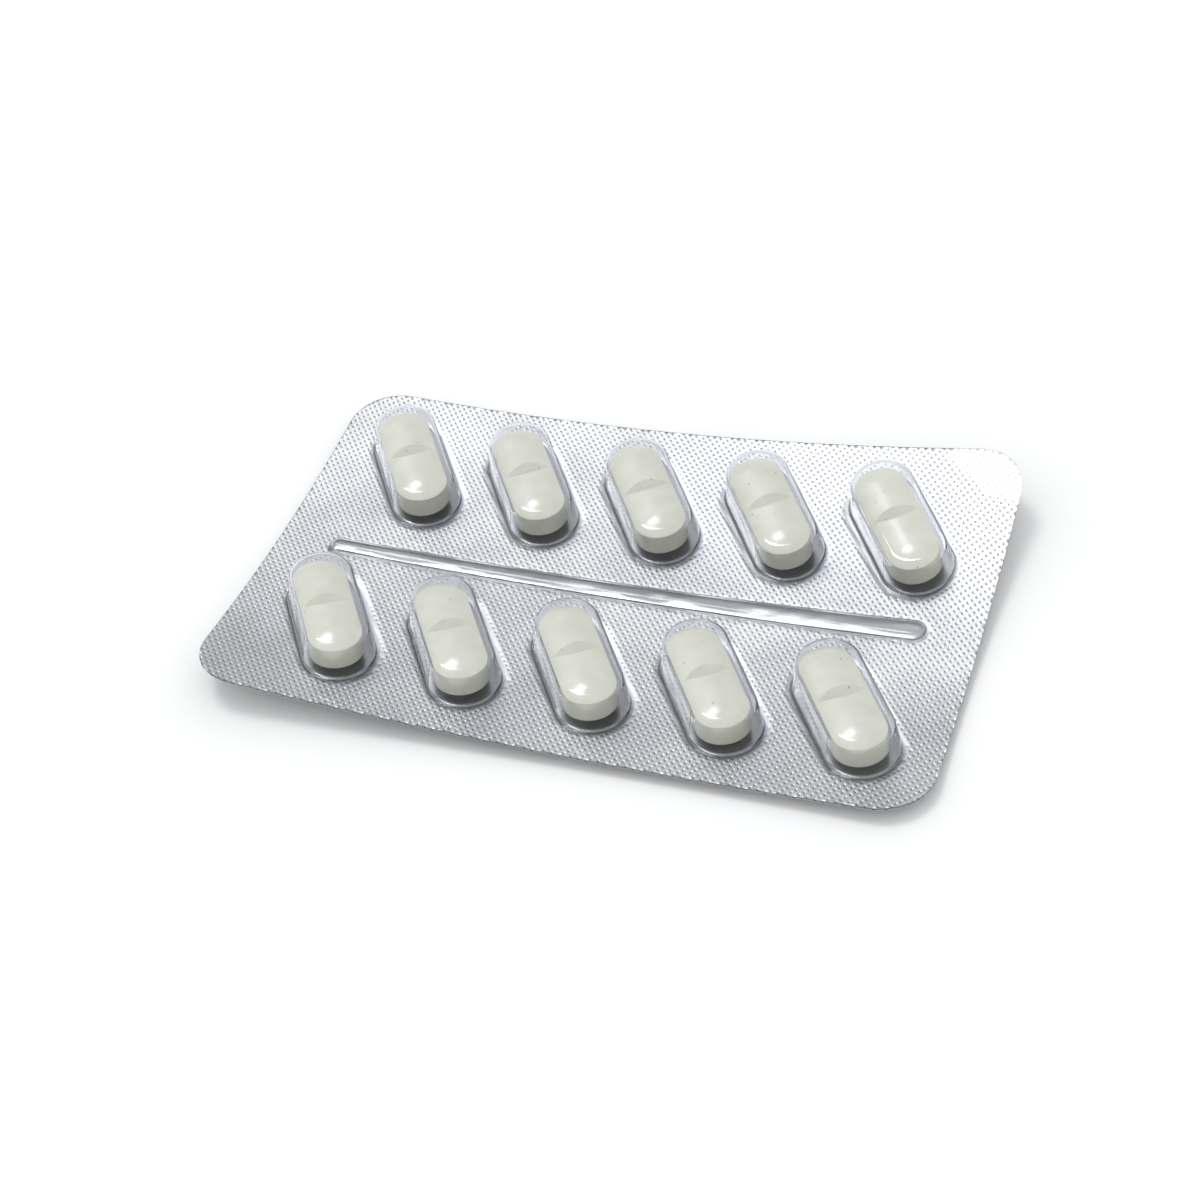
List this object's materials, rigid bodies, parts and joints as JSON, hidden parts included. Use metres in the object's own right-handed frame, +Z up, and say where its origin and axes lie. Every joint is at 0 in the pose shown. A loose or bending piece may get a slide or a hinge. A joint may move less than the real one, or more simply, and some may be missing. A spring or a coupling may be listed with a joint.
{
  "type": "pill blister pack",
  "caption": "Clear thermoformed blister card with slanted pockets in two rows and a stiffening rib, sealed to lidding foil and filled with scored oblong tablets.",
  "frame": {"origin": "middle of the card in plan, at the lowest point of the foil's underside", "axes": "+X along the card's long side, +Y from the front edge to the back edge, +Z up through the pockets"},
  "size_m": [0.1, 0.0636, 0.0087],
  "materials": {
    "clear_film": "clear glossy thermoformed film",
    "foil": "thin foil with a fine diagonal knurled seal, smooth under the pockets and the rib",
    "tablet": "pale ivory film coating, satin on the domed faces"
  },
  "bodies": {
    "root": {"blister_film": "clear_film", "lidding_foil": "foil", "tablet_front_1": "tablet", "tablet_front_2": "tablet", "tablet_front_3": "tablet", "tablet_front_4": "tablet", "tablet_front_5": "tablet", "tablet_back_1": "tablet", "tablet_back_2": "tablet", "tablet_back_3": "tablet", "tablet_back_4": "tablet", "tablet_back_5": "tablet"}
  },
  "joints": []
}
